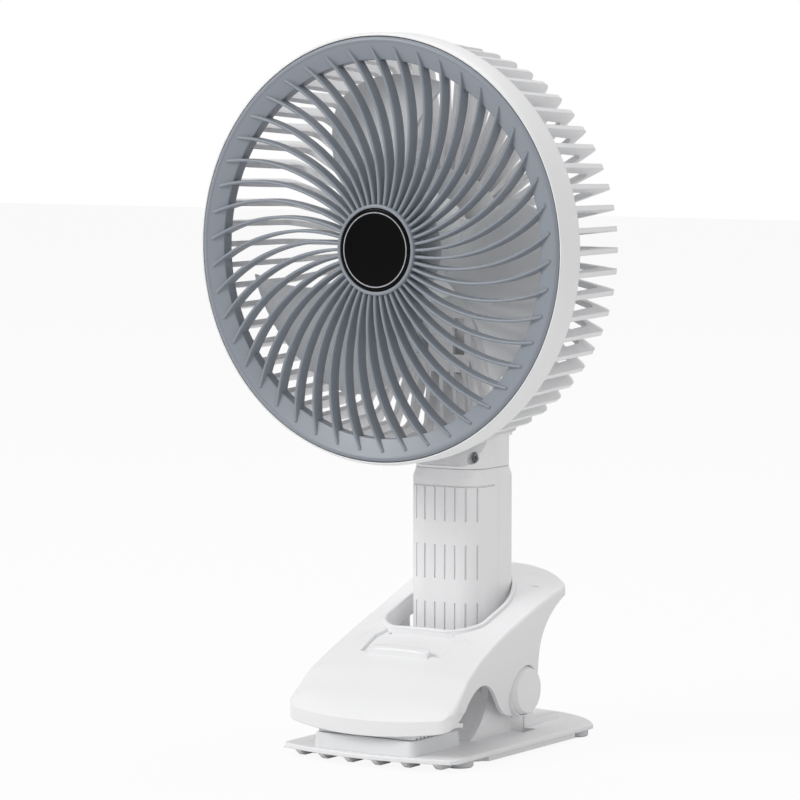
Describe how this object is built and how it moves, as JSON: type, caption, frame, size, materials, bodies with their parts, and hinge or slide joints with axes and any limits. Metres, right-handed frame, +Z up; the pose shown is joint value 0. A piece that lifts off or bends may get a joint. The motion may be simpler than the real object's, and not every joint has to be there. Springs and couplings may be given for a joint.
{
  "type": "fan",
  "caption": "Rechargeable fan on a handle with a spring clip: swirl grille, finned cage, tilting head, swivel neck, wide clip jaw over a flat foot.",
  "frame": {"origin": "table height under the middle of the footprint", "axes": "+Z up, air leaves along -Y, X across the fan"},
  "size_m": [0.193, 0.1534, 0.3267],
  "materials": {
    "white_shell": "injection moulded, satin white",
    "rotor_white": "injection moulded, pale grey-white",
    "grille_grey": "injection moulded, cool grey",
    "badge_black": "polished black",
    "bright_ring": "thin bright ring",
    "motor_steel": "pressed steel",
    "screw_steel": "plated steel",
    "spring_steel": "drawn spring wire",
    "inlet_steel": "folded sheet",
    "bush_brass": "turned bush",
    "inner_plastic": "moulded inner part",
    "cell_wrap": "shrink sleeve",
    "lead_cover": "lead cover",
    "board": "solder mask",
    "lens": "clear moulding",
    "foot_rubber": "moulded rubber",
    "pad_rubber": "moulded rubber"
  },
  "bodies": {
    "base": {"handle_front": "white_shell", "handle_rear": "white_shell", "handle_screws": "screw_steel", "battery_cell": "cell_wrap", "battery_cradle": "inner_plastic", "battery_leads": "lead_cover", "circuit_board": "board", "push_switch": "inner_plastic", "indicator_lens": "lens", "charging_inlet": "inlet_steel", "base_plate": "white_shell", "base_pad": "white_shell", "rubber_feet": "foot_rubber", "foot_screws": "screw_steel", "clip_spring": "spring_steel"},
    "neck": {"neck_front": "white_shell", "neck_rear": "white_shell", "neck_screws": "screw_steel", "swivel_spigot": "inner_plastic", "swivel_clip": "spring_steel"},
    "head": {"front_grille": "grille_grey", "grille_badge": "badge_black", "badge_ring": "bright_ring", "rear_cage": "white_shell", "motor_cover": "white_shell", "motor_can": "motor_steel", "motor_end_plate": "motor_steel", "motor_bushes": "bush_brass", "motor_screws": "screw_steel", "tilt_screw": "screw_steel", "tilt_washers": "inner_plastic"},
    "rotor": {"fan_rotor": "rotor_white", "motor_shaft": "screw_steel", "rotor_nut": "rotor_white"},
    "button": {"power_button": "white_shell"},
    "jaw": {"upper_jaw": "white_shell", "jaw_pad": "pad_rubber", "hinge_pin": "screw_steel", "hinge_cap_left": "white_shell", "hinge_cap_right": "white_shell"}
  },
  "joints": [
    {"name": "neck_swivel", "type": "hinge", "parent": "base", "child": "neck", "pos_m": [0, 0.01075, 0.1282], "axis": [0, 0, 1], "range_deg": [-90, 90]},
    {"name": "head_tilt", "type": "hinge", "parent": "neck", "child": "head", "pos_m": [0, 0.00415, 0.1944], "axis": [1, 0, 0], "range_deg": [-45, 0]},
    {"name": "rotor_spin", "type": "hinge", "parent": "head", "child": "rotor", "pos_m": [0, -0.06225, 0.2302], "axis": [0, 1, 0], "continuous": true},
    {"name": "jaw_open", "type": "hinge", "parent": "base", "child": "jaw", "pos_m": [0, 0.01075, 0.0261], "axis": [1, 0, 0], "range_deg": [-24, 0], "stiffness_Nm_per_rad": 0.6, "springref_deg": 45.84},
    {"name": "button_press", "type": "slide", "parent": "base", "child": "button", "axis": [0, -1, 0], "range_m": [0, 0.0008], "stiffness_N_per_m": 300, "springref_m": -0.001}
  ]
}
